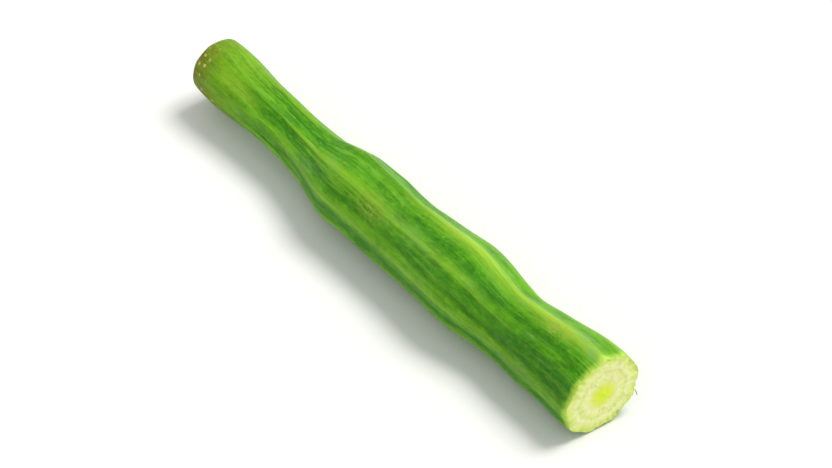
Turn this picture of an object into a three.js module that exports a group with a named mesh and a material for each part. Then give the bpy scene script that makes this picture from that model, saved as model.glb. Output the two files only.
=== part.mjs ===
// A cut length of drumstick pod, lying on its side. It grew as one piece, so it is one closed solid.
// Millimetres, Z up. X runs along the pod, from the blunt stem end (-X) to the fresh flat cut (+X).
import * as THREE from "three";

const LENGTH = 146;

// The pod's course: distance from the stem end, radius, sideways bow, and height of the centre.
const STATIONS = [
  { along: 0, radius: 7.1, side: 1.85, height: 9.3 },
  { along: 8, radius: 7.5, side: 1.7, height: 9.1 },
  { along: 19, radius: 6.65, side: 1.45, height: 8.8 },
  { along: 31, radius: 6.4, side: 1.3, height: 8.5 },
  { along: 41, radius: 6.75, side: 0.65, height: 8.4 },
  { along: 49, radius: 7.8, side: -0.1, height: 8.6 },
  { along: 57, radius: 9.3, side: -0.35, height: 9.1 },
  { along: 65, radius: 9.35, side: -0.1, height: 9.1 },
  { along: 75, radius: 9.1, side: -0.4, height: 8.9 },
  { along: 88, radius: 9.5, side: -0.35, height: 9.25 },
  { along: 102, radius: 10.15, side: -0.4, height: 9.85 },
  { along: 111, radius: 9.1, side: -0.25, height: 9.05 },
  { along: 117, radius: 8.5, side: -0.05, height: 8.65 },
  { along: 127, radius: 9.15, side: 0.15, height: 8.95 },
  { along: 137, radius: 9.7, side: 0.7, height: 9.25 },
  { along: 146, radius: 10.0, side: 0.53, height: 9.4 },
];

// The stem end is rounded over a short depth to a blunt face with a shallow, dried scar in it.
const STEM_ROUND_DEPTH = 2.6;
const STEM_FACE_SHARE = 0.6;
const STEM_ROUND_RINGS = 5;
const SCAR_RADIUS_SHARE = 0.5;
const SCAR_DEPTH = 0.5;

// The knife left a narrow broken edge of rind round the flat cut face.
const CUT_EDGE_DEPTH = 0.35;
const CUT_EDGE_INSET = 0.45;

// The section is softly three-sided, and carries nine ribs that wind a little along the pod.
const LOBES = 3;
const LOBE_SHARE = 0.022;
const LOBE_ANGLE = 58;
const TWIST = 30;
const RIBS = [
  { angle: 58, height: 0.8, width: 12 },
  { angle: 106, height: 0.45, width: 11 },
  { angle: 150, height: 0.6, width: 11 },
  { angle: 186, height: 0.45, width: 11 },
  { angle: 222, height: 0.4, width: 11 },
  { angle: 259, height: 0.6, width: 12 },
  { angle: 300, height: 0.4, width: 11 },
  { angle: 341, height: 0.45, width: 11 },
  { angle: 22, height: 0.45, width: 11 },
];
const RIBS_START = 8;
const RIBS_FULL = 30;
const RIB_SHARE_AT_STEM = 0.3;

// Towards the cut, the section grows a little oval, with its long way at this angle.
const OVAL_SHARE = 0.05;
const OVAL_ANGLE = 25;
const OVAL_START = 112;

// The weight of the pod flattens the skin where it touches the table, at height 0.
const TABLE = 0;

const AROUND = 64;
const RING_SPACING = 3.2;

const SKIN_COLOUR = 0x5fa021;
const SKIN_ROUGHNESS = 0.5;

// Smooth curves through the stations: radius, side and height for any distance along the pod.
const course = new THREE.CubicInterpolant(
  STATIONS.map((station) => station.along),
  STATIONS.flatMap((station) => [station.radius, station.side, station.height]),
  3,
);

// How far a rib stands out at an angle, in degrees, of the pod's own section.
function ribHeight(angle, rib) {
  const apart = THREE.MathUtils.euclideanModulo(angle - rib.angle + 180, 360) - 180;
  return rib.height * Math.exp(-((apart / rib.width) ** 2));
}

// The mean height of all the ribs, taken off so that they don't thicken the pod.
const meanRibHeight = RIBS.reduce(
  (sum, rib) => sum + (rib.height * rib.width * Math.sqrt(Math.PI)) / 360,
  0,
);

// The share of the radius left by the rounding of the stem end.
function stemRounding(along) {
  const inward = Math.max(0, 1 - along / STEM_ROUND_DEPTH);
  return STEM_FACE_SHARE + (1 - STEM_FACE_SHARE) * Math.sqrt(1 - inward ** 2);
}

// One point of the skin, at a distance along the pod and an angle from +Y towards +Z.
function skinPoint(along, degrees, inset = 0) {
  const [radius, side, height] = course.evaluate(along);
  const angle = degrees - (TWIST * along) / LENGTH;
  const lobe = LOBE_SHARE * Math.cos(THREE.MathUtils.degToRad(LOBES * (angle - LOBE_ANGLE)));
  const ribs = RIBS.reduce((sum, rib) => sum + ribHeight(angle, rib), -meanRibHeight);
  const grown = THREE.MathUtils.smoothstep(along, RIBS_START, RIBS_FULL);
  const ribShare = THREE.MathUtils.lerp(RIB_SHARE_AT_STEM, 1, grown);
  const oval =
    OVAL_SHARE *
    THREE.MathUtils.smoothstep(along, OVAL_START, LENGTH) *
    Math.cos(THREE.MathUtils.degToRad(2 * (degrees - OVAL_ANGLE)));
  const round = radius * (1 + lobe + oval);
  const reach = (round + ribs * ribShare) * stemRounding(along) - inset;
  const turn = THREE.MathUtils.degToRad(degrees);
  return new THREE.Vector3(
    along - LENGTH / 2,
    side + reach * Math.cos(turn),
    height + reach * Math.sin(turn),
  );
}

// One ring of the skin, with its lowest points pressed flat by the table.
function skinRing(along, inset) {
  return Array.from({ length: AROUND }, (_, i) => {
    const point = skinPoint(along, (360 * i) / AROUND, inset);
    point.z = Math.max(point.z, TABLE);
    return point;
  });
}

// The middle of the pod at a distance along it.
function centre(along) {
  const [, side, height] = course.evaluate(along);
  return new THREE.Vector3(along - LENGTH / 2, side, height);
}

// A smaller copy of a ring, drawn in towards a point and set back along the pod.
function shrunkRing(ring, middle, share, depth) {
  return ring.map((point) => {
    const inner = point.clone().lerp(middle, 1 - share);
    inner.x += depth;
    return inner;
  });
}

// All rings from the middle of the scar, over the stem end and along the skin, to the cut face.
function podRings() {
  const rounded = Array.from({ length: STEM_ROUND_RINGS }, (_, i) => {
    const turn = ((i / STEM_ROUND_RINGS) * Math.PI) / 2;
    return STEM_ROUND_DEPTH * (1 - Math.cos(turn));
  });
  const edge = LENGTH - CUT_EDGE_DEPTH;
  const steps = Math.round((edge - STEM_ROUND_DEPTH) / RING_SPACING);
  const straight = Array.from({ length: steps + 1 }, (_, i) =>
    THREE.MathUtils.lerp(STEM_ROUND_DEPTH, edge, i / steps),
  );
  const skin = [...rounded, ...straight].map((along) => skinRing(along));
  const scar = shrunkRing(skin[0], centre(0), SCAR_RADIUS_SHARE, SCAR_DEPTH);
  return [scar, ...skin, skinRing(LENGTH, CUT_EDGE_INSET)];
}

// Joins the rings into one closed surface, with a fan of triangles over each end.
function podGeometry() {
  const rings = podRings();
  const first = centre(0).setX(rings[0][0].x);
  const points = [...rings.flat(), first, centre(LENGTH)];
  const firstCentre = points.length - 2;
  const lastCentre = points.length - 1;
  const lastRing = (rings.length - 1) * AROUND;
  const faces = [];
  for (let i = 0; i < AROUND; i += 1) {
    const next = (i + 1) % AROUND;
    faces.push(firstCentre, next, i);
    faces.push(lastCentre, lastRing + i, lastRing + next);
    for (let row = 0; row < lastRing; row += AROUND) {
      const [a, b] = [row + i, row + next];
      faces.push(a, b, a + AROUND);
      faces.push(b, b + AROUND, a + AROUND);
    }
  }
  return new THREE.BufferGeometry().setFromPoints(points).setIndex(faces);
}

const podMaterial = new THREE.MeshStandardMaterial({
  color: SKIN_COLOUR,
  roughness: SKIN_ROUGHNESS,
  metalness: 0,
});
const pod = new THREE.Mesh(podGeometry(), podMaterial);
pod.name = "drumstick_pod";

const part = new THREE.Group();
part.name = "drumstick_pod_piece";
part.add(pod);

export default part;
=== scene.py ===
"""A cut length of drumstick pod on a pale table, with its ribbed skin, fresh cut and stem scar."""

import logging
import math
from collections.abc import Sequence
from dataclasses import dataclass, field
from enum import Enum, IntEnum
from itertools import pairwise

import bpy
import numpy as np
from bpy.types import Material, Mesh, Node, NodeSocket, Object
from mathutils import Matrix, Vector, noise

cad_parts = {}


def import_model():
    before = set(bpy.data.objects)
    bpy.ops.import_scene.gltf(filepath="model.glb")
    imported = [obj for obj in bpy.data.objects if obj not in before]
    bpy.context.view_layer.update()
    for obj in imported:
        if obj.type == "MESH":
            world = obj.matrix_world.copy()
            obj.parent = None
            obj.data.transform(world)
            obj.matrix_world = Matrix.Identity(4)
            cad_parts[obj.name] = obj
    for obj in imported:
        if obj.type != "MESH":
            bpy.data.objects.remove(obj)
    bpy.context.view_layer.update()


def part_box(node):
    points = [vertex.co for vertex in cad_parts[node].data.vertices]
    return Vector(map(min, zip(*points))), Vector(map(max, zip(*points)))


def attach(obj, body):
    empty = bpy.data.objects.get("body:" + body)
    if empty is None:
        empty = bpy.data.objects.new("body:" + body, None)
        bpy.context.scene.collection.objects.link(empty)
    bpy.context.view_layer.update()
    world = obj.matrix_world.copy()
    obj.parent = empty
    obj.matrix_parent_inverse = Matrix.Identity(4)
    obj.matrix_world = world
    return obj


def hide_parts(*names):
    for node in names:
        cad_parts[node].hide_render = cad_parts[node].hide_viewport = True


Colour = tuple[int, int, int]
Triple = tuple[float, float, float]
Span = tuple[float, float]
Shade = tuple[float, float, float, float]

log = logging.getLogger("drumstick_pod")

MM = 0.001
NODE = "drumstick_pod"
BODY = "root"
SMOOTH_LEVELS = 2

# The ribs round the back and under the pod, and the grooves between them, in degrees.
FAR_RIBS = (186.0, 222.0, 259.0, 300.0, 341.0, 22.0)
FAR_GROOVES = (168.0, 204.0, 240.0, 280.0, 321.0, 2.0)


def linear(colour: Colour) -> Shade:
    """Turns a colour as seen on a screen into the numbers that a shader takes.

    Args:
        colour: Red, green and blue, from 0 to 255.

    Returns:
        Linear red, green and blue, from 0 to 1, and full cover.
    """
    shares = (channel / 255 for channel in colour)
    parts = [s / 12.92 if s <= 0.04045 else ((s + 0.055) / 1.055) ** 2.4 for s in shares]
    return (parts[0], parts[1], parts[2], 1.0)


def smooth_step(values: np.ndarray, start: float, stop: float) -> np.ndarray:
    """Runs smoothly from 0 at start to 1 at stop."""
    share = np.clip((values - start) / (stop - start), 0.0, 1.0)
    return share * share * (3.0 - 2.0 * share)


def bump_at(values: np.ndarray, middle: float, width: float) -> np.ndarray:
    """A round hump of height 1 at middle, which falls away over width."""
    return np.exp(-(((values - middle) / width) ** 2))


def turn_apart(angles: np.ndarray, middle: float) -> np.ndarray:
    """How far each angle is from middle, in degrees, the short way round."""
    return (angles - middle + 180.0) % 360.0 - 180.0


def waves(points: np.ndarray) -> np.ndarray:
    """Uneven smooth waves, one value for each point of space."""
    return np.array([noise.noise(Vector(point)) for point in points])


def start_ring(
    name: str, corners: int, radius: float, place: Vector, tilt: Triple, fill: str = "NOTHING"
) -> Object:
    """Adds a circle to grow a piece from, and selects it all in edit mode.

    Args:
        name: The piece's name.
        corners: How many corners the circle has.
        radius: The circle's radius, in metres.
        place: The circle's middle, in metres.
        tilt: The circle's turn about each axis, in radians.
        fill: What closes the circle.

    Returns:
        The new piece.
    """
    bpy.ops.object.select_all(action="DESELECT")
    bpy.ops.mesh.primitive_circle_add(
        vertices=corners, radius=radius, fill_type=fill, location=place, rotation=tilt
    )
    piece = bpy.context.object
    piece.name = name
    bpy.ops.object.transform_apply(location=True, rotation=True, scale=True)
    bpy.ops.object.mode_set(mode="EDIT")
    bpy.ops.mesh.select_all(action="SELECT")
    return piece


def grow_ring(step: Sequence[float], middle: Sequence[float], scale: Triple) -> None:
    """Extrudes the selected ring by a step, and resizes it about its new middle."""
    bpy.ops.mesh.extrude_region_move(TRANSFORM_OT_translate={"value": step})
    bpy.ops.transform.resize(value=scale, center_override=middle)


def round_off(piece: Object) -> None:
    """Turns all faces outwards, leaves edit mode and rounds the piece off by subdivision.

    Args:
        piece: The closed piece, which is in edit mode.
    """
    bpy.ops.mesh.select_all(action="SELECT")
    bpy.ops.mesh.normals_make_consistent(inside=False)
    bpy.ops.object.mode_set(mode="OBJECT")
    smoother = piece.modifiers.new("smoother", "SUBSURF")
    smoother.levels = smoother.render_levels = SMOOTH_LEVELS
    bpy.ops.object.modifier_apply(modifier=smoother.name)


class Zone(IntEnum):
    """The three surfaces of the pod, in the order of its material slots."""

    SKIN = 0
    CUT = 1
    SCAR = 2


class Mark(Enum):
    """Masks and coordinates that the pod's mesh carries for its finishes."""

    GRAIN = "grain"
    # Paler rib tops, with a painted highlight along the main rib and on the knob.
    RIDGE = "pale_rib_and_highlight"
    GROOVE = "groove"
    # Painted light on the upper sides of the pod.
    LIGHT = "light"
    # Painted shade in the hollows between the ribs.
    SCURF = "scurf"
    BLOOM = "bloom_and_highlight"
    # Grey bloom spots, partly painted highlight.
    BROWN = "brown"
    SHARE = "share"
    SPOKE = "spoke"


@dataclass(frozen=True)
class Pattern:
    """A cloudy pattern: clouds to a unit each way, how far it is shifted, and how broken it is."""

    scale: Triple
    shift: float = 0.0
    detail: float = 3.0
    roughness: float = 0.5
    distortion: float = 0.0


@dataclass(frozen=True)
class Cover:
    """How much a value covers: the least at low, the most at high, and smoothly between."""

    low: float
    high: float
    least: float = 0.0
    most: float = 1.0


@dataclass
class Painter:
    """Builds one material's nodes, coat by coat, with short calls for what the finishes share."""

    name: str
    material: Material = field(init=False)
    shader: Node = field(init=False)
    colour: NodeSocket | Shade | None = field(init=False, default=None)

    def __post_init__(self) -> None:
        """Makes the material, with an empty main shader."""
        self.material = bpy.data.materials.new(self.name)
        self.material.use_nodes = True
        self.shader = self.material.node_tree.nodes["Principled BSDF"]

    def node(self, kind: str, **settings: object) -> Node:
        """Adds a node and sets its properties.

        Args:
            kind: The node's type.
            settings: The properties to set, by name.

        Returns:
            The new node.
        """
        made = self.material.node_tree.nodes.new(kind)
        for key, value in settings.items():
            setattr(made, key, value)
        return made

    def put(self, socket: NodeSocket, value: object) -> None:
        """Links a socket to another one, or sets it to a plain value.

        Args:
            socket: The socket to feed.
            value: Another socket, or a number, vector or colour.
        """
        if isinstance(value, NodeSocket):
            self.material.node_tree.links.new(value, socket)
        else:
            socket.default_value = value

    def mark(self, mark: Mark, output: str = "Fac") -> NodeSocket:
        """Reads one of the mesh's own masks or coordinates."""
        return self.node("ShaderNodeAttribute", attribute_name=mark.value).outputs[output]

    def stretched(self, vector: NodeSocket, scale: Triple, shift: float = 0.0) -> NodeSocket:
        """Scales a coordinate by a different amount along each axis.

        Args:
            vector: The coordinate.
            scale: How many pattern units there are to one of the coordinate's, each way.
            shift: Moves the pattern, so that two of them differ.

        Returns:
            The scaled coordinate.
        """
        mapping = self.node("ShaderNodeMapping")
        self.put(mapping.inputs["Vector"], vector)
        self.put(mapping.inputs["Scale"], scale)
        self.put(mapping.inputs["Location"], (shift, shift, shift))
        return mapping.outputs["Vector"]

    def cloud(self, vector: NodeSocket, pattern: Pattern) -> NodeSocket:
        """Draws a cloudy pattern.

        Args:
            vector: The coordinate that it follows.
            pattern: Its sizes.

        Returns:
            The pattern, from 0 to 1.
        """
        made = self.node("ShaderNodeTexNoise")
        self.put(made.inputs["Vector"], self.stretched(vector, pattern.scale, pattern.shift))
        self.put(made.inputs["Scale"], 1.0)
        self.put(made.inputs["Detail"], pattern.detail)
        self.put(made.inputs["Roughness"], pattern.roughness)
        self.put(made.inputs["Distortion"], pattern.distortion)
        return made.outputs["Fac"]

    def cells(self, vector: NodeSocket, pattern: Pattern) -> NodeSocket:
        """Scatters points over the surface.

        Args:
            vector: The coordinate that they follow.
            pattern: Their scale and shift.

        Returns:
            The distance to the nearest point.
        """
        made = self.node("ShaderNodeTexVoronoi")
        self.put(made.inputs["Vector"], self.stretched(vector, pattern.scale, pattern.shift))
        self.put(made.inputs["Scale"], 1.0)
        return made.outputs["Distance"]

    def between(self, value: NodeSocket, cover: Cover) -> NodeSocket:
        """Stretches a value smoothly from low to high, and clamps it.

        Args:
            value: The value.
            cover: Where it starts and stops, and what it gives there.

        Returns:
            The stretched value.
        """
        made = self.node("ShaderNodeMapRange", interpolation_type="SMOOTHSTEP")
        self.put(made.inputs["Value"], value)
        self.put(made.inputs["From Min"], cover.low)
        self.put(made.inputs["From Max"], cover.high)
        self.put(made.inputs["To Min"], cover.least)
        self.put(made.inputs["To Max"], cover.most)
        return made.outputs["Result"]

    def sum(self, first: NodeSocket, second: NodeSocket | float, way: str = "ADD") -> NodeSocket:
        """Does a sum with two values.

        Args:
            first: The first value.
            second: The second value.
            way: The kind of sum.

        Returns:
            The answer.
        """
        made = self.node("ShaderNodeMath", operation=way)
        self.put(made.inputs[0], first)
        self.put(made.inputs[1], second)
        return made.outputs[0]

    def times(self, first: NodeSocket, second: NodeSocket | float) -> NodeSocket:
        """Multiplies two values."""
        return self.sum(first, second, "MULTIPLY")

    def ramp(self, value: NodeSocket, stops: tuple[tuple[float, Colour], ...]) -> NodeSocket:
        """Turns a value into a colour.

        Args:
            value: The value, from 0 to 1.
            stops: Places along the ramp, and the colour at each.

        Returns:
            The colour.
        """
        made = self.node("ShaderNodeValToRGB")
        elements = made.color_ramp.elements
        while len(elements) < len(stops):
            elements.new(0.5)
        for element, (place, colour) in zip(elements, stops, strict=True):
            element.position = place
            element.color = linear(colour)
        self.put(made.inputs["Fac"], value)
        return made.outputs["Color"]

    def coat(self, share: NodeSocket, colour: Colour) -> None:
        """Lays a colour over what is painted so far.

        Args:
            share: How much of the new colour covers the old one.
            colour: The new colour.
        """
        made = self.node("ShaderNodeMix", data_type="RGBA")
        amount, _, _, _, _, _, under, over = made.inputs[:8]
        self.put(amount, share)
        self.put(under, self.colour)
        self.put(over, linear(colour))
        self.colour = made.outputs[2]

    def relief(
        self, height: NodeSocket, millimetres: float, under: NodeSocket | None = None
    ) -> NodeSocket:
        """Raises a fine relief on the surface.

        Args:
            height: The pattern that it follows.
            millimetres: How high it stands.
            under: Another relief that it lies on.

        Returns:
            The surface's direction.
        """
        made = self.node("ShaderNodeBump")
        self.put(made.inputs["Height"], height)
        self.put(made.inputs["Distance"], millimetres * MM)
        if under is not None:
            self.put(made.inputs["Normal"], under)
        return made.outputs["Normal"]

    def finish(
        self, roughness: NodeSocket | float, shine: float, relief: NodeSocket | None = None
    ) -> Material:
        """Hands the paint to the main shader.

        Args:
            roughness: How rough the surface is.
            shine: How strongly it mirrors light, where 0.5 is usual.
            relief: Its fine relief.

        Returns:
            The finished material.
        """
        self.put(self.shader.inputs["Base Color"], self.colour)
        self.put(self.shader.inputs["Roughness"], roughness)
        self.put(self.shader.inputs["Specular IOR Level"], shine)
        if relief is not None:
            self.put(self.shader.inputs["Normal"], relief)
        return self.material


@dataclass(frozen=True)
class SkinPatterns:
    """The drawn patterns that the coats of the skin share, and the distance along the pod."""

    along: NodeSocket
    broad: NodeSocket
    fine: NodeSocket
    thread: NodeSocket
    mottle: NodeSocket
    speck: NodeSocket
    grit: NodeSocket
    cloud: NodeSocket
    dots: NodeSocket


@dataclass(frozen=True)
class SkinFinish:
    """The ribbed green skin: streaked, with paler rib tops and a painted highlight on the main
    rib, painted light on its upper sides, painted shade between its ribs, grey bloom with spots of
    painted highlight, and scurf.
    """

    deep: Colour = (36, 104, 0)
    green: Colour = (62, 139, 2)
    bright: Colour = (93, 168, 12)
    # Paler rib tops, and a painted highlight along the main rib and on the knob.
    pale_rib_and_highlight: Colour = (160, 202, 58)
    # Dark green for the dark threads and specks, and painted shade in the hollows between the
    # ribs.
    groove: Colour = (28, 84, 0)
    # Painted light: a lighter green for the upper sides, where the lamp falls.
    painted_lit_facet: Colour = (113, 179, 22)
    knob: Colour = (118, 168, 14)
    streak: Colour = (124, 182, 38)
    # Pale grey-green for the waxy bloom, and for the painted highlight in the bloom spots.
    bloom_and_highlight: Colour = (120, 172, 84)
    scurf: Colour = (154, 166, 62)
    brown: Colour = (116, 96, 28)
    fleck: Colour = (190, 182, 92)
    rim: Colour = (186, 220, 84)

    # Patterns, in clouds to a millimetre along the pod and across it.
    broad: Pattern = Pattern((0.016, 0.2, 0.2))
    fine: Pattern = Pattern((0.045, 1.0, 1.0), 7.0, 4.0, 0.62, 0.5)
    thread: Pattern = Pattern((0.09, 2.7, 2.7), 3.0, 3.0, 0.65)
    mottle: Pattern = Pattern((0.2, 0.4, 0.4), 19.0, 5.0, 0.65)
    speck: Pattern = Pattern((1.6, 2.2, 2.2), 11.0, 4.0, 0.7)
    grit: Pattern = Pattern((0.5, 1.3, 1.3), 23.0, 4.0, 0.7)
    cloud: Pattern = Pattern((0.12, 0.4, 0.4), 31.0, 5.0, 0.7)
    dots: Pattern = Pattern((0.62, 0.5, 0.5), 5.0)

    # How the patterns cover the skin.
    broad_part: float = 0.28
    mottle_part: float = 0.46
    grit_part: float = 0.26
    tones: Triple = (0.37, 0.5, 0.62)
    # Spreads the painted light on the upper sides over the mottle.
    painted_lit_facet_spread: Cover = Cover(0.3, 0.6, 0.6, 1.0)
    knob_worn: Cover = Cover(0.35, 0.6, 0.5, 0.85)
    fine_light: Cover = Cover(0.5, 0.62)
    fine_dark: Cover = Cover(0.46, 0.34, 0.0, 0.7)
    thread_light: Cover = Cover(0.52, 0.68, 0.0, 0.32)
    thread_dark: Cover = Cover(0.46, 0.32, 0.0, 0.26)
    grit_light: Cover = Cover(0.54, 0.7, 0.0, 0.4)
    grit_dark: Cover = Cover(0.44, 0.3, 0.0, 0.32)
    # Spreads the painted shade between the ribs over the broad clouds.
    groove_shade_spread: Cover = Cover(0.25, 0.5, 0.6, 1.0)
    # Spreads the paler rib tops and their painted highlight over the fine streaks.
    pale_rib_and_highlight_spread: Cover = Cover(0.3, 0.6, 0.5, 1.0)
    haze: Cover = Cover(0.54, 0.7, 0.0, 0.3)
    # Spots of bloom, partly painted highlight.
    bloom_and_highlight_spots: Cover = Cover(0.4, 0.6)
    scurf_specks: Cover = Cover(0.42, 0.6)
    scurf_worn: Cover = Cover(0.3, 0.5)
    dust: Cover = Cover(0.68, 0.76, 0.0, 0.5)
    brown_worn: Cover = Cover(0.36, 0.58, 0.45, 1.0)
    dot_edge: Cover = Cover(0.34, 0.2)
    dot_brown: Cover = Cover(0.2, 0.6)

    # Places along the pod, in millimetres.
    knob_end: Cover = Cover(30.0, 12.0)
    neck_start: Cover = Cover(14.0, 28.0)
    neck_end: Cover = Cover(74.0, 46.0)
    haze_start: Cover = Cover(30.0, 60.0)
    rim_edge: Cover = Cover(146.0, 148.2, 0.0, 0.8)
    rim_mottle: float = 3.0
    rim_thread: float = 1.4

    # Strength of the streaks, roughness, shine, and relief in millimetres.
    streaks: float = 0.3
    neck_streaks: float = 0.35
    sheen: Cover = Cover(0.3, 0.7, 0.34, 0.5)
    brown_roughness: float = 0.25
    shine: float = 0.16
    fine_height: float = 0.2
    thread_height: float = 0.12
    speck_height: float = 0.1

    def draw(self, paint: Painter) -> SkinPatterns:
        """Draws the patterns that the coats share.

        Args:
            paint: The skin's painter.

        Returns:
            The patterns.
        """
        grain = paint.mark(Mark.GRAIN, "Vector")
        parts = paint.node("ShaderNodeSeparateXYZ")
        paint.put(parts.inputs[0], grain)
        return SkinPatterns(
            along=parts.outputs["X"],
            broad=paint.cloud(grain, self.broad),
            fine=paint.cloud(grain, self.fine),
            thread=paint.cloud(grain, self.thread),
            mottle=paint.cloud(grain, self.mottle),
            speck=paint.cloud(grain, self.speck),
            grit=paint.cloud(grain, self.grit),
            cloud=paint.cloud(grain, self.cloud),
            dots=paint.cells(grain, self.dots),
        )

    def lay_ground(self, paint: Painter, drawn: SkinPatterns) -> None:
        """Lays the mottled green, painted light on the upper sides of the pod, and the yellower
        knob at the stem end.

        Args:
            paint: The skin's painter.
            drawn: The patterns.
        """
        small = paint.sum(
            paint.times(drawn.mottle, self.mottle_part), paint.times(drawn.grit, self.grit_part)
        )
        tone = paint.sum(paint.times(drawn.broad, self.broad_part), small)
        colours = (self.deep, self.green, self.bright)
        paint.colour = paint.ramp(tone, tuple(zip(self.tones, colours, strict=True)))
        # Painted light: the upper sides and a patch near the middle, lightened as if lit.
        painted_lit_facets = paint.between(drawn.mottle, self.painted_lit_facet_spread)
        paint.coat(paint.times(paint.mark(Mark.LIGHT), painted_lit_facets), self.painted_lit_facet)
        knob = paint.between(drawn.along, self.knob_end)
        paint.coat(paint.times(knob, paint.between(drawn.grit, self.knob_worn)), self.knob)

    def lay_streaks(self, paint: Painter, drawn: SkinPatterns) -> None:
        """Lays light and dark streaks along the pod, strongest on its neck.

        Args:
            paint: The skin's painter.
            drawn: The patterns.
        """
        neck = paint.times(
            paint.between(drawn.along, self.neck_start), paint.between(drawn.along, self.neck_end)
        )
        strength = paint.sum(paint.times(neck, self.neck_streaks), self.streaks)
        paint.coat(paint.times(paint.between(drawn.fine, self.fine_light), strength), self.streak)
        paint.coat(paint.times(paint.between(drawn.fine, self.fine_dark), strength), self.deep)
        paint.coat(paint.between(drawn.thread, self.thread_light), self.streak)
        paint.coat(paint.between(drawn.thread, self.thread_dark), self.groove)
        paint.coat(paint.between(drawn.grit, self.grit_light), self.streak)
        paint.coat(paint.between(drawn.grit, self.grit_dark), self.deep)

    def lay_marks(self, paint: Painter, drawn: SkinPatterns) -> None:
        """Lays painted shade between the ribs, the paler rib tops with a painted highlight on the
        main rib and the knob, grey bloom with spots of painted highlight, scurf and dark specks.

        Args:
            paint: The skin's painter.
            drawn: The patterns.
        """
        # Painted shade: the hollows between the ribs and a broad band near the cut end, darkened.
        groove_shade = paint.between(drawn.broad, self.groove_shade_spread)
        paint.coat(paint.times(paint.mark(Mark.GROOVE), groove_shade), self.groove)
        # Paler rib tops, and a painted highlight along the main rib and on the knob.
        pale_ribs_and_highlight = paint.between(drawn.fine, self.pale_rib_and_highlight_spread)
        paint.coat(paint.times(paint.mark(Mark.RIDGE), pale_ribs_and_highlight), self.pale_rib_and_highlight)
        haze_place = paint.between(drawn.along, self.haze_start)
        haze = paint.times(paint.between(drawn.cloud, self.haze), haze_place)
        # Spots of bloom, partly painted highlight, laid with the grey bloom haze.
        spots = paint.times(paint.mark(Mark.BLOOM), paint.between(drawn.cloud, self.bloom_and_highlight_spots))
        paint.coat(paint.sum(haze, spots, "MAXIMUM"), self.bloom_and_highlight)
        scurf = paint.times(paint.mark(Mark.SCURF), paint.between(drawn.speck, self.scurf_specks))
        paint.coat(paint.times(scurf, paint.between(drawn.mottle, self.scurf_worn)), self.scurf)
        paint.coat(paint.between(drawn.speck, self.dust), self.groove)

    def lay_ends(self, paint: Painter, drawn: SkinPatterns) -> NodeSocket:
        """Lays the pale rim at the cut, and the browned skin and pale dots at the stem end.

        Args:
            paint: The skin's painter.
            drawn: The patterns.

        Returns:
            How brown the skin is.
        """
        uneven = paint.sum(
            paint.times(drawn.mottle, self.rim_mottle), paint.times(drawn.thread, self.rim_thread)
        )
        paint.coat(paint.between(paint.sum(drawn.along, uneven), self.rim_edge), self.rim)
        brown = paint.times(paint.mark(Mark.BROWN), paint.between(drawn.mottle, self.brown_worn))
        paint.coat(brown, self.brown)
        dotted = paint.between(paint.mark(Mark.BROWN), self.dot_brown)
        paint.coat(paint.times(paint.between(drawn.dots, self.dot_edge), dotted), self.fleck)
        return brown

    def make(self) -> Material:
        """Builds the skin's material.

        Returns:
            The material.
        """
        paint = Painter("pod_skin")
        drawn = self.draw(paint)
        self.lay_ground(paint, drawn)
        self.lay_streaks(paint, drawn)
        self.lay_marks(paint, drawn)
        brown = self.lay_ends(paint, drawn)
        dull = paint.times(brown, self.brown_roughness)
        roughness = paint.sum(paint.between(drawn.mottle, self.sheen), dull)
        relief = paint.relief(drawn.fine, self.fine_height)
        relief = paint.relief(drawn.thread, self.thread_height, relief)
        relief = paint.relief(drawn.speck, self.speck_height, relief)
        return paint.finish(roughness, self.shine, relief)


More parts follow.
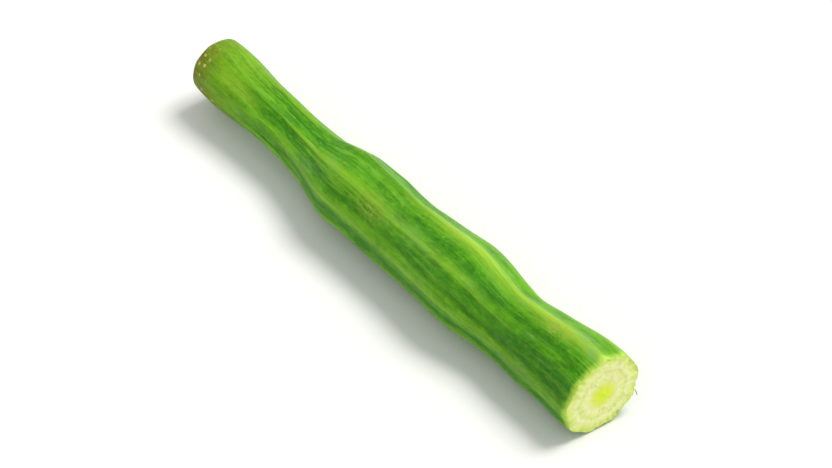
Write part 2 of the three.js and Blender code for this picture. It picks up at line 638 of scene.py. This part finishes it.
@dataclass(frozen=True)
class FleshFinish:
    """The fresh cut: yellow-green rind, pale fibrous flesh in rings, and a soft bright core."""

    core: Colour = (218, 240, 52)
    glow: Colour = (226, 236, 104)
    halo: Colour = (240, 243, 178)
    crease: Colour = (220, 231, 132)
    flesh: Colour = (230, 240, 140)
    outer: Colour = (216, 234, 112)
    rind: Colour = (178, 214, 72)
    pale: Colour = (242, 247, 188)
    shade: Colour = (188, 208, 100)

    cloud: Pattern = Pattern((0.45, 0.45, 0.45), 0.0, 4.0, 0.6, 0.4)
    fluff: Pattern = Pattern((2.2, 2.2, 2.2), 5.0, 5.0, 0.7)
    rays: Pattern = Pattern((3.5, 7.0, 7.0), 2.0, 5.0, 0.65, 0.3)

    wobble: float = 0.22
    past_core: Cover = Cover(0.25, 0.45)
    cloud_dark: Cover = Cover(0.48, 0.32, 0.0, 0.45)
    ray_light: Cover = Cover(0.5, 0.64, 0.0, 0.5)
    ray_dark: Cover = Cover(0.44, 0.32, 0.0, 0.4)
    fluff_light: Cover = Cover(0.54, 0.68, 0.0, 0.6)
    sheen: Cover = Cover(0.3, 0.7, 0.38, 0.6)
    shine: float = 0.25
    ray_height: float = 0.15
    fluff_height: float = 0.25

    def rings(self) -> tuple[tuple[float, Colour], ...]:
        """Lists the colours of the cut, from the core out to the rind.

        Returns:
            Shares of the way out, and the colour at each.
        """
        return (
            (0.0, self.core),
            (0.13, self.core),
            (0.29, self.glow),
            (0.46, self.halo),
            (0.56, self.flesh),
            (0.63, self.crease),
            (0.7, self.halo),
            (0.8, self.flesh),
            (0.92, self.outer),
            (1.0, self.rind),
        )

    def make(self) -> Material:
        """Builds the cut face's material.

        Returns:
            The material.
        """
        paint = Painter("pod_flesh")
        grain = paint.mark(Mark.GRAIN, "Vector")
        share = paint.mark(Mark.SHARE)
        cloud = paint.cloud(grain, self.cloud)
        fluff = paint.cloud(grain, self.fluff)
        rays = paint.cloud(paint.mark(Mark.SPOKE, "Vector"), self.rays)
        uneven = paint.times(paint.sum(cloud, -0.5), self.wobble)
        paint.colour = paint.ramp(paint.sum(share, uneven), self.rings())
        flesh = paint.between(share, self.past_core)
        for pattern, cover, colour in (
            (cloud, self.cloud_dark, self.shade),
            (rays, self.ray_light, self.pale),
            (rays, self.ray_dark, self.shade),
            (fluff, self.fluff_light, self.pale),
        ):
            paint.coat(paint.times(paint.between(pattern, cover), flesh), colour)
        relief = paint.relief(paint.times(rays, flesh), self.ray_height)
        relief = paint.relief(fluff, self.fluff_height, relief)
        return paint.finish(paint.between(fluff, self.sheen), self.shine, relief)


@dataclass(frozen=True)
class ScarFinish:
    """The dried, corky scar where the pod broke from its stalk."""

    dark: Colour = (78, 58, 26)
    cork: Colour = (132, 110, 56)
    pale: Colour = (176, 158, 96)
    crust: Pattern = Pattern((0.9, 0.9, 0.9), 0.0, 5.0, 0.7, 0.5)
    roughness: float = 0.8
    shine: float = 0.25
    crust_height: float = 0.5

    def make(self) -> Material:
        """Builds the scar's material.

        Returns:
            The material.
        """
        paint = Painter("pod_scar")
        crust = paint.cloud(paint.mark(Mark.GRAIN, "Vector"), self.crust)
        stops = ((0.32, self.dark), (0.5, self.cork), (0.68, self.pale))
        paint.colour = paint.ramp(crust, stops)
        return paint.finish(self.roughness, self.shine, paint.relief(crust, self.crust_height))


@dataclass(frozen=True)
class StrandFinish:
    """A pale, half dry strand of fibre. Its pattern's scale is in clouds to a metre."""

    root: Colour = (124, 164, 54)
    tip: Colour = (158, 184, 84)
    streak: Pattern = Pattern((2600.0, 2600.0, 900.0))
    sheen: Cover = Cover(0.3, 0.7, 0.45, 0.65)
    shine: float = 0.5
    streak_height: float = 0.04

    def make(self) -> Material:
        """Builds the strand's material.

        Returns:
            The material.
        """
        paint = Painter("pod_strand")
        place = paint.node("ShaderNodeTexCoord").outputs["Object"]
        streak = paint.cloud(place, self.streak)
        paint.colour = paint.ramp(streak, ((0.35, self.root), (0.65, self.tip)))
        relief = paint.relief(streak, self.streak_height)
        return paint.finish(paint.between(streak, self.sheen), self.shine, relief)


@dataclass(frozen=True)
class Station:
    """One place along the pod, in millimetres."""

    along: float
    radius: float
    side: float
    height: float


class Course:
    """Smooth curves through the stations: the pod's radius, bow and height anywhere along it."""

    def __init__(self, stations: tuple[Station, ...]) -> None:
        """Keeps the stations' places and numbers."""
        self.places = np.array([s.along for s in stations])
        self.numbers = np.array([(s.radius, s.side, s.height) for s in stations])

    def at(self, along: np.ndarray) -> np.ndarray:
        """Reads the curves.

        Args:
            along: Distances from the stem end, in millimetres.

        Returns:
            One row per distance: radius, side and height, in millimetres.
        """
        last = len(self.places) - 1
        after = np.clip(np.searchsorted(self.places, along, side="right"), 1, last)
        before = after - 1
        far_before = np.where(before > 0, before - 1, after)
        far_after = np.where(after < last, after + 1, before)
        half = (self.places[after] - self.places[before]) / 2.0
        back = half / (self.places[before] - self.places[far_before])
        on = half / (self.places[far_after] - self.places[after])
        p = np.clip((along - self.places[before]) / (2.0 * half), 0.0, 1.0)
        shares = (
            (far_before, -back * p**3 + 2 * back * p**2 - back * p),
            (before, (1 + back) * p**3 - (1.5 + 2 * back) * p**2 + (back - 0.5) * p + 1),
            (after, (-1 - on) * p**3 + (1.5 + on) * p**2 + 0.5 * p),
            (far_after, on * p**3 - on * p**2),
        )
        return sum(share[:, None] * self.numbers[index] for index, share in shares)


@dataclass(frozen=True)
class Band:
    """A band along the pod: angle and width in degrees, height or strength, and where it runs.

    It grows over the span grows, and fades over the span fades, in millimetres along the pod.
    """

    angle: float
    width: float
    strength: float
    grows: Span | None = None
    fades: Span | None = None

    def mask(self, along: np.ndarray, angle: np.ndarray) -> np.ndarray:
        """How strong the band is at each place.

        Args:
            along: Distances from the stem end, in millimetres.
            angle: Angles round the pod, in degrees.

        Returns:
            The strengths.
        """
        mask = self.strength * bump_at(turn_apart(angle, self.angle), 0.0, self.width)
        if self.grows:
            mask = mask * smooth_step(along, *self.grows)
        if self.fades:
            mask = mask * (1.0 - smooth_step(along, *self.fades))
        return mask


@dataclass(frozen=True)
class Patch:
    """A patch of marked skin: its middle along and round the pod, and its reach each way."""

    along: float
    angle: float
    length: float
    width: float
    strength: float = 1.0

    def mask(self, along: np.ndarray, angle: np.ndarray) -> np.ndarray:
        """How strongly the patch covers each place."""
        across = bump_at(turn_apart(angle, self.angle), 0.0, self.width)
        return self.strength * bump_at(along, self.along, self.length) * across


@dataclass(frozen=True)
class Marking:
    """One mask of the skin: the bands and patches that add up to it, and the most it reaches."""

    mark: Mark
    shapes: tuple[Band | Patch, ...]
    most: float = 1.0

    def mask(self, along: np.ndarray, angle: np.ndarray) -> np.ndarray:
        """The mask's value at each place."""
        return np.clip(sum(s.mask(along, angle) for s in self.shapes), 0.0, self.most)


@dataclass(frozen=True)
class SkinRelief:
    """The skin's fine relief, all worked inwards: hollows, a groove, fine lines and swellings."""

    hollows: tuple[Band, ...] = (
        Band(58.0, 17.0, 0.35, grows=(56.0, 76.0)),
        Band(58.0, 5.0, -0.35, grows=(56.0, 76.0)),
        Band(134.0, 5.0, 0.13, grows=(40.0, 60.0), fades=(110.0, 140.0)),
    )
    line_stretch: float = 0.012
    lines_round: float = 5.5
    line_level: float = 0.15
    line_top: float = 0.1
    line_depth: float = 0.16
    neck: float = 38.0
    neck_reach: float = 20.0
    swell_stretch: float = 0.1
    swells_round: float = 1.3
    swell_shift: float = 7.0
    swell_level: float = 0.1
    swell_top: float = 0.05
    swell_depth: float = 0.35
    stem_fade: Span = (-2.0, 6.0)

    def at(self, along: np.ndarray, angle: np.ndarray) -> np.ndarray:
        """Reads the relief.

        Args:
            along: Distances from the stem end, in millimetres.
            angle: Angles round the pod, in degrees.

        Returns:
            Heights in millimetres.
        """
        hollow = sum(band.mask(along, angle) for band in self.hollows)
        across, up = np.cos(np.radians(angle)), np.sin(np.radians(angle))
        count = self.lines_round
        lines = waves(np.stack((along * self.line_stretch, across * count, up * count), 1))
        depth = self.line_depth * (1.0 + bump_at(along, self.neck, self.neck_reach))
        lines = np.minimum(lines - self.line_level, self.line_top) * depth
        count = self.swells_round
        places = (along * self.swell_stretch, across * count + self.swell_shift, up * count)
        swells = np.minimum(waves(np.stack(places, 1)) - self.swell_level, self.swell_top)
        relief = -hollow + lines + swells * self.swell_depth
        return relief * smooth_step(along, *self.stem_fade)


@dataclass(frozen=True)
class CutRelief:
    """The relief of the cut face, by share of the way from core to rind, and its frayed rim."""

    behind: float = 0.08
    crease_place: float = 0.64
    crease_width: float = 0.06
    crease_depth: float = 0.045
    crease_wobble: float = 0.04
    core_edge: float = 0.36
    core_edge_width: float = 0.07
    core_edge_depth: float = 0.04
    rough_scale: float = 7.0
    rough_seed: float = 2.0
    rough_octaves: int = 4
    rough_depth: float = 0.13
    rough_limits: Span = (-0.5, 1.5)
    rays_round: float = 9.0
    rays_out: float = 0.7
    ray_strength: float = 0.8
    ray_depth: float = 0.35
    torn_from: Span = (0.7, 0.95)
    flat_rim: Span = (0.95, 1.0)
    fray_round: float = 11.0
    fray_seed: float = 3.0
    fray_strength: float = 0.9
    fray_limits: Span = (-0.05, 0.45)
    fray_least: float = 0.35
    fray_side: float = -25.0
    fray_side_width: float = 75.0

    def depth(self, share: np.ndarray, angle: np.ndarray) -> np.ndarray:
        """How far the cut flesh lies behind the flat of the knife cut.

        Args:
            share: Shares of the way from the core to the rind.
            angle: Angles round the pod, in degrees.

        Returns:
            Depths in millimetres, which are 0 on the rim.
        """
        turn = np.radians(angle)
        across, up = np.cos(turn), np.sin(turn)
        scaled = np.stack((share * across, share * up), 1) * self.rough_scale
        seed, octaves = self.rough_seed, self.rough_octaves
        rough = [noise.fractal(Vector((y, z, seed)), 1.0, 2.0, octaves) for y, z in scaled]
        rough = self.rough_depth * np.clip(np.array(rough), *self.rough_limits)
        count = self.rays_round
        rays = waves(np.stack((across * count, up * count, self.rays_out * share), 1))
        torn = np.clip(rays * self.ray_strength, 0.0, self.ray_depth)
        torn = torn * smooth_step(share, *self.torn_from)
        ring = share + self.crease_wobble * np.cos(2.0 * turn)
        crease = self.crease_depth * bump_at(ring, self.crease_place, self.crease_width)
        core = self.core_edge_depth * bump_at(share, self.core_edge, self.core_edge_width)
        inside = 1.0 - smooth_step(share, *self.flat_rim)
        return (self.behind + crease + core + torn + rough) * inside

    def fray(self, angle: np.ndarray, turned: np.ndarray) -> np.ndarray:
        """How far the rim is torn back, most of all on one side.

        Args:
            angle: Angles round the pod's own section, in degrees.
            turned: The same angles, as they lie once the pod is twisted.

        Returns:
            Distances in millimetres.
        """
        turn, count = np.radians(angle), self.fray_round
        seed = np.full_like(turn, self.fray_seed)
        torn = waves(np.stack((np.cos(turn) * count, np.sin(turn) * count, seed), 1))
        side = bump_at(turn_apart(turned, self.fray_side), 0.0, self.fray_side_width)
        side = self.fray_least + (1.0 - self.fray_least) * side
        return side * np.clip(torn * self.fray_strength, *self.fray_limits)


@dataclass
class PodBody:
    """The whole pod: skin, cut face and stem scar in one closed mesh.

    Lengths are in millimetres, and angles in degrees.
    """

    length: float = 146.0
    twist: float = 30.0
    stations: tuple[Station, ...] = (
        Station(0, 7.1, 1.85, 9.3),
        Station(8, 7.5, 1.7, 9.1),
        Station(19, 6.65, 1.45, 8.8),
        Station(31, 6.4, 1.3, 8.5),
        Station(41, 6.75, 0.65, 8.4),
        Station(49, 7.8, -0.1, 8.6),
        Station(57, 9.3, -0.35, 9.1),
        Station(65, 9.35, -0.1, 9.1),
        Station(75, 9.1, -0.4, 8.9),
        Station(88, 9.5, -0.35, 9.25),
        Station(102, 10.15, -0.4, 9.85),
        Station(111, 9.1, -0.25, 9.05),
        Station(117, 8.5, -0.05, 8.65),
        Station(127, 9.15, 0.15, 8.95),
        Station(137, 9.7, 0.7, 9.25),
        Station(146, 10.0, 0.53, 9.4),
    )
    ribs: tuple[Band, ...] = (
        Band(58.0, 12.0, 0.8),
        Band(106.0, 11.0, 0.45),
        Band(150.0, 11.0, 0.6),
        Band(186.0, 11.0, 0.45),
        Band(222.0, 11.0, 0.4),
        Band(259.0, 12.0, 0.6),
        Band(300.0, 11.0, 0.4),
        Band(341.0, 11.0, 0.45),
        Band(22.0, 11.0, 0.45),
    )
    ribs_grow: Span = (8.0, 30.0)
    ribs_at_stem: float = 0.3
    lobes: int = 3
    lobe_share: float = 0.022
    lobe_angle: float = 58.0
    oval_share: float = 0.05
    oval_angle: float = 25.0
    oval_from: float = 112.0

    # The stem end: its rounded edge, blunt face and shallow scar.
    stem_round: float = 2.6
    stem_turns: tuple[float, ...] = (0.0, 22.0, 40.0, 58.0, 75.0)
    stem_face_share: float = 0.6
    scar_depth: float = 0.5
    scar_rings: tuple[Span, ...] = ((1.0, 0.12), (1.0, 0.45), (0.3, 0.75))
    scar_share: float = 0.54

    # The cut end: its narrow edge, and the rings of its face by share of its radius.
    cut_edge: float = 0.35
    cut_inset: float = 0.45
    cut_rings: tuple[float, ...] = (0.92, 0.82, 0.7, 0.58, 0.46, 0.34, 0.24, 0.14, 0.06)
    cut_skin: float = 0.28
    cut_flat: Span = (0.2, 0.02)
    fray_length: float = 1.4
    fray_power: int = 4

    around: int = 60
    spacing: float = 2.3
    crease_angle: float = 40.0
    grain_radius: float = 8.5
    skin_relief: SkinRelief = SkinRelief()
    cut_relief: CutRelief = CutRelief()
    markings: tuple[Marking, ...] = (
        # Paler rib tops all round, and a painted highlight along the main rib and on the knob.
        Marking(
            Mark.RIDGE,
            (
                Band(59.0, 8.5, 0.2),
                Band(59.0, 8.5, 0.7, grows=(62.0, 100.0)),
                Band(127.0, 9.0, 0.55, grows=(6.0, 12.0), fades=(18.0, 26.0)),
                Band(104.0, 7.0, 0.35, grows=(30.0, 44.0), fades=(100.0, 130.0)),
                Band(149.0, 7.0, 0.4, grows=(24.0, 40.0)),
                *(Band(angle, 6.0, 0.4, grows=(20.0, 45.0)) for angle in FAR_RIBS),
            ),
        ),
        # Painted shade: the hollows between the ribs and a broad band near the cut end, darkened
        # as if in shade.
        Marking(
            Mark.GROOVE,
            (
                Band(134.0, 6.0, 0.36, grows=(44.0, 60.0), fades=(140.0, 146.0)),
                Band(90.0, 6.0, 0.3, grows=(60.0, 80.0), fades=(140.0, 146.0)),
                Band(116.0, 30.0, 0.26, grows=(88.0, 125.0), fades=(140.0, 146.0)),
                *(
                    Band(angle, 6.0, 0.4, grows=(24.0, 50.0), fades=(140.0, 146.0))
                    for angle in FAR_GROOVES
                ),
            ),
            most=0.85,
        ),
        # Painted light: the upper sides near the cut end and a patch near the middle, lightened as
        # if lit.
        Marking(
            Mark.LIGHT,
            (
                Band(30.0, 24.0, 0.6, grows=(74.0, 96.0)),
                Patch(70.0, 102.0, 15.0, 28.0, 0.6),
                Band(64.0, 14.0, 0.5, grows=(80.0, 100.0)),
            ),
            most=0.9,
        ),
        Marking(
            Mark.SCURF,
            (
                Patch(71.0, 114.0, 4.0, 15.0),
                Patch(131.0, 66.0, 4.5, 11.0),
                Patch(96.0, 200.0, 6.0, 16.0, 0.6),
                Patch(66.0, 300.0, 5.0, 14.0, 0.6),
            ),
        ),
        # Spots of grey bloom, partly painted highlight.
        Marking(
            Mark.BLOOM,
            (
                Patch(138.0, 53.0, 3.0, 8.0, 0.8),
                Patch(143.0, 64.0, 2.5, 8.0, 0.7),
                Patch(85.0, 105.0, 8.0, 12.0, 0.5),
                Patch(46.0, 138.0, 6.0, 12.0, 0.5),
            ),
        ),
        Marking(
            Mark.BROWN,
            (
                Band(0.0, math.inf, 0.3, fades=(1.5, 10.0)),
                Band(165.0, 55.0, 0.7, fades=(1.5, 10.0)),
                Patch(9.0, 200.0, 6.0, 30.0, 0.5),
                Patch(8.0, 30.0, 6.0, 12.0, 0.4),
            ),
        ),
    )
    course: Course = field(init=False)

    def __post_init__(self) -> None:
        """Lays the smooth curves through the stations."""
        self.course = Course(self.stations)

    def radius(self, along: float) -> float:
        """The pod's mean radius at one distance along it."""
        return float(self.course.at(np.array([along]))[0, 0])

    def outline(self) -> list[Span]:
        """Lists the pod's rings, from inside the stem scar to inside the cut face.

        Returns:
            Each ring's distance along the pod, and its radius.
        """
        face = self.radius(0.0) * self.stem_face_share
        rings = [(self.scar_depth * deep, face * share) for deep, share in self.scar_rings]
        for turn in np.radians(self.stem_turns):
            along = self.stem_round * (1.0 - math.cos(turn))
            rings.append((along, face + (self.radius(along) - face) * math.sin(turn)))
        edge = self.length - self.cut_edge
        steps = round((edge - self.stem_round) / self.spacing)
        body = np.linspace(self.stem_round, edge, steps + 1)
        rings += [(along, self.radius(along)) for along in body]
        rim = self.radius(self.length)
        rings.append((self.length, rim - self.cut_inset))
        rings += [(self.length, rim * share) for share in self.cut_rings]
        return rings

    def model(self) -> Object:
        """Draws the straight pod out of one small circle, ring by ring, and closes its ends.

        Returns:
            The straight pod.
        """
        rings = self.outline()
        start, radius = rings[0]
        tilt = (0.0, math.pi / 2, 0.0)
        pod = start_ring("pod_body", self.around, radius * MM, Vector((start * MM, 0, 0)), tilt)
        for (along, radius), (next_along, next_radius) in pairwise(rings):
            step = ((next_along - along) * MM, 0.0, 0.0)
            ratio = next_radius / radius
            grow_ring(step, (next_along * MM, 0.0, 0.0), (1.0, ratio, ratio))
        bpy.ops.mesh.select_all(action="SELECT")
        bpy.ops.mesh.fill_holes(sides=0)
        bpy.ops.mesh.select_face_by_sides(number=4, type="GREATER", extend=False)
        bpy.ops.mesh.poke()
        round_off(pod)
        bpy.ops.object.shade_smooth_by_angle(angle=math.radians(self.crease_angle))
        return pod

    def rib_relief(self, along: np.ndarray, angle: np.ndarray) -> np.ndarray:
        """Reads the ribs, the three soft corners and the oval of the cut end.

        Args:
            along: Distances from the stem end.
            angle: Angles round the pod's own section.

        Returns:
            Heights in millimetres.
        """
        radius = self.course.at(along)[:, 0]
        lobe = self.lobe_share * np.cos(np.radians(self.lobes * (angle - self.lobe_angle)))
        turned = angle + self.twist * along / self.length
        oval = self.oval_share * np.cos(np.radians(2.0 * (turned - self.oval_angle)))
        oval = oval * smooth_step(along, self.oval_from, self.length)
        height = sum(rib.mask(along, angle) for rib in self.ribs)
        mean = sum(rib.strength * rib.width for rib in self.ribs) * math.sqrt(math.pi) / 360.0
        grown = self.ribs_at_stem + (1.0 - self.ribs_at_stem) * smooth_step(along, *self.ribs_grow)
        return radius * (lobe + oval) + (height - mean) * grown

    def shape(self, pod: Object) -> None:
        """Works ribs, marks and cut flesh into the straight pod, then twists, bows and lays it.

        Args:
            pod: The straight pod.
        """
        mesh = pod.data
        places = np.empty(len(mesh.vertices) * 3)
        mesh.vertices.foreach_get("co", places)
        x, y, z = (places.reshape(-1, 3) / MM).T
        along = np.clip(x, 0.0, self.length)
        reach = np.hypot(y, z)
        angle = np.degrees(np.arctan2(z, y)) % 360.0
        share = np.clip(reach / self.course.at(along)[:, 0], 0.0, 1.0)
        self.mark_out(mesh, along, angle, share)
        relief = self.rib_relief(along, angle) + self.skin_relief.at(along, angle)
        torn = self.cut_relief.fray(angle, angle + self.twist)
        torn = torn * smooth_step(along, self.length - self.fray_length, self.length)
        reach = reach + share * relief - share**self.fray_power * torn
        start, stop = (self.length - depth for depth in self.cut_flat)
        sunk = smooth_step(along, start, stop) * self.cut_relief.depth(share, angle)
        self.lay(mesh, along - sunk, angle, reach)

    def lay(self, mesh: Mesh, along: np.ndarray, angle: np.ndarray, reach: np.ndarray) -> None:
        """Twists and bows the pod, lays it on the table, and keeps it inside the solid's box.

        Args:
            mesh: The pod's mesh.
            along: Each point's distance from the stem end.
            angle: Its angle round the pod's own section.
            reach: Its distance from the pod's middle line.
        """
        turn = np.radians(angle + self.twist * along / self.length)
        side, height = self.course.at(along)[:, 1:].T
        low, high = (np.array(corner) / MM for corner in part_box(NODE))
        y = np.clip(side + reach * np.cos(turn), low[1], high[1])
        z = np.clip(height + reach * np.sin(turn), 0.0, high[2])
        done = np.stack((along - self.length / 2.0, y, z), 1) * MM
        mesh.vertices.foreach_set("co", done.astype(np.float32).ravel())
        mesh.update()

    def mark_out(
        self, mesh: Mesh, along: np.ndarray, angle: np.ndarray, share: np.ndarray
    ) -> None:
        """Stores the coordinates and masks that the finishes read.

        Args:
            mesh: The pod's mesh.
            along: Each point's distance from the stem end.
            angle: Its angle round the pod's own section.
            share: Its share of the way from the middle line to the skin.
        """
        across, up = np.cos(np.radians(angle)), np.sin(np.radians(angle))
        even = self.grain_radius * share
        self.write(mesh, Mark.GRAIN, np.stack((along, even * across, even * up), 1))
        self.write(mesh, Mark.SPOKE, np.stack((share, across, up), 1))
        self.write(mesh, Mark.SHARE, share)
        for marking in self.markings:
            self.write(mesh, marking.mark, marking.mask(along, angle))

    def write(self, mesh: Mesh, mark: Mark, values: np.ndarray) -> None:
        """Stores one mask or coordinate on the mesh.

        Args:
            mesh: The pod's mesh.
            mark: Which mask or coordinate it is.
            values: One number or one vector for each point.
        """
        kind, key = ("FLOAT_VECTOR", "vector") if values.ndim == 2 else ("FLOAT", "value")
        layer = mesh.attributes.new(mark.value, kind, "POINT")
        layer.data.foreach_set(key, values.astype(np.float32).ravel())

    def dress(self, pod: Object) -> None:
        """Gives the skin, the cut and the scar their materials, by where each face lies.

        Args:
            pod: The shaped pod.
        """
        mesh = pod.data
        for finish in (SkinFinish(), FleshFinish(), ScarFinish()):
            mesh.materials.append(finish.make())
        grain = np.empty(len(mesh.vertices) * 3, np.float32)
        mesh.attributes[Mark.GRAIN.value].data.foreach_get("vector", grain)
        share = np.empty(len(mesh.vertices), np.float32)
        mesh.attributes[Mark.SHARE.value].data.foreach_get("value", share)
        along = grain.reshape(-1, 3)[:, 0]
        for face in mesh.polygons:
            corners = list(face.vertices)
            middle = along[corners].mean()
            if middle > self.length - self.cut_skin:
                face.material_index = Zone.CUT
            elif middle < self.stem_round and share[corners].mean() < self.scar_share:
                face.material_index = Zone.SCAR

    def build(self) -> Object:
        """Makes the finished pod, which rides on the part's body and stands for its solid.

        Returns:
            The pod.
        """
        pod = self.model()
        self.shape(pod)
        self.dress(pod)
        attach(pod, BODY)
        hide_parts(NODE)
        return pod


@dataclass
class CutStrand:
    """One loose strand of fibre that the knife left on the rim of the cut, in millimetres."""

    start: Triple = (72.1, 8.9, 6.5)
    steps: tuple[Triple, ...] = (
        (0.15, 0.75, -0.4),
        (0.2, 0.5, -0.8),
        (0.15, 0.25, -0.9),
        (0.1, 0.15, -0.9),
    )
    width: float = 1.0
    taper: float = 0.8
    around: int = 8
    tilt: float = 126.0

    def build(self) -> Object:
        """Draws the strand out of a small circle, bend by bend, and closes its ends.

        Returns:
            The strand.
        """
        place = Vector(self.start) * MM
        tilt = (math.radians(self.tilt), 0.0, 0.0)
        strand = start_ring("cut_strand", self.around, self.width * MM / 2, place, tilt, "NGON")
        for step in self.steps:
            move = Vector(step) * MM
            place = place + move
            grow_ring(move, place, (self.taper,) * 3)
        round_off(strand)
        bpy.ops.object.shade_smooth()
        strand.data.materials.append(StrandFinish().make())
        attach(strand, BODY)
        return strand


@dataclass(frozen=True)
class SoftLamp:
    """A broad, far lamp that lights the whole table evenly, with its spread in degrees."""

    name: str
    way: Triple
    power: float
    spread: float
    tint: Triple

    def hang(self) -> None:
        """Hangs the lamp, facing the pod."""
        lamp = bpy.data.lights.new(self.name, "SUN")
        lamp.angle = math.radians(self.spread)
        lamp.energy = self.power
        lamp.color = self.tint
        holder = bpy.data.objects.new(self.name, lamp)
        bpy.context.scene.collection.objects.link(holder)
        holder.location = self.way
        holder.rotation_euler = Vector(self.way).to_track_quat("Z", "Y").to_euler()


@dataclass(frozen=True)
class TableFinish:
    """A pale, dull table top."""

    top: Colour = (232, 232, 230)
    roughness: float = 0.7
    shine: float = 0.2

    def make(self) -> Material:
        """Builds the table's material.

        Returns:
            The material.
        """
        paint = Painter("table_top")
        paint.colour = linear(self.top)
        return paint.finish(self.roughness, self.shine)


@dataclass
class Studio:
    """The pale table, the soft light and the camera. Lengths are in metres, angles in degrees."""

    azimuth: float = 52.4
    elevation: float = 40.3
    distance: float = 1.2
    lens: float = 230.0
    aim: Triple = (0.0034, 0.0028, 0.0073)
    table_size: float = 40.0
    table_drop: float = 0.0002
    sky: float = 0.6
    sky_colour: Shade = (1.0, 1.0, 1.0, 1.0)
    lamps: tuple[SoftLamp, ...] = (
        SoftLamp("key_lamp", (0.12, 0.55, 0.9), 2.6, 30.0, (1.0, 0.985, 0.95)),
        SoftLamp("fill_lamp", (0.5, -0.7, 0.62), 0.4, 45.0, (0.95, 0.98, 1.0)),
    )

    def lay_table(self) -> None:
        """Lays a large pale table top just under the pod."""
        bpy.ops.object.select_all(action="DESELECT")
        bpy.ops.mesh.primitive_plane_add(size=self.table_size, location=(0, 0, -self.table_drop))
        table = bpy.context.object
        table.name = "pale_table"
        table.data.materials.append(TableFinish().make())

    def light(self) -> None:
        """Hangs the lamps under an even pale sky."""
        world = bpy.data.worlds.new("soft_sky")
        world.use_nodes = True
        background = world.node_tree.nodes["Background"]
        background.inputs["Color"].default_value = self.sky_colour
        background.inputs["Strength"].default_value = self.sky
        bpy.context.scene.world = world
        for lamp in self.lamps:
            lamp.hang()

    def frame(self) -> None:
        """Sets up the camera, which looks down at the pod from beyond its cut end."""
        turn, rise = math.radians(self.azimuth), math.radians(self.elevation)
        level = math.cos(rise)
        back = Vector((math.sin(turn) * level, -math.cos(turn) * level, math.sin(rise)))
        camera = bpy.data.objects.new("camera", bpy.data.cameras.new("camera"))
        camera.data.lens = self.lens
        camera.location = Vector(self.aim) + back * self.distance
        camera.rotation_euler = back.to_track_quat("Z", "Y").to_euler()
        bpy.context.scene.collection.objects.link(camera)
        bpy.context.scene.camera = camera
        bpy.context.scene.view_settings.view_transform = "Standard"

    def build(self) -> None:
        """Sets up the whole studio."""
        self.lay_table()
        self.light()
        self.frame()


def main() -> None:
    """Builds the studio and the pod's pieces, and reports each."""
    logging.basicConfig(level=logging.INFO, format="%(name)s: %(message)s")
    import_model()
    Studio().build()
    for piece in (PodBody().build(), CutStrand().build()):
        finishes = [material.name for material in piece.data.materials]
        log.info("%s: %d faces, %s", piece.name, len(piece.data.polygons), finishes)


if __name__ == "__main__":
    main()
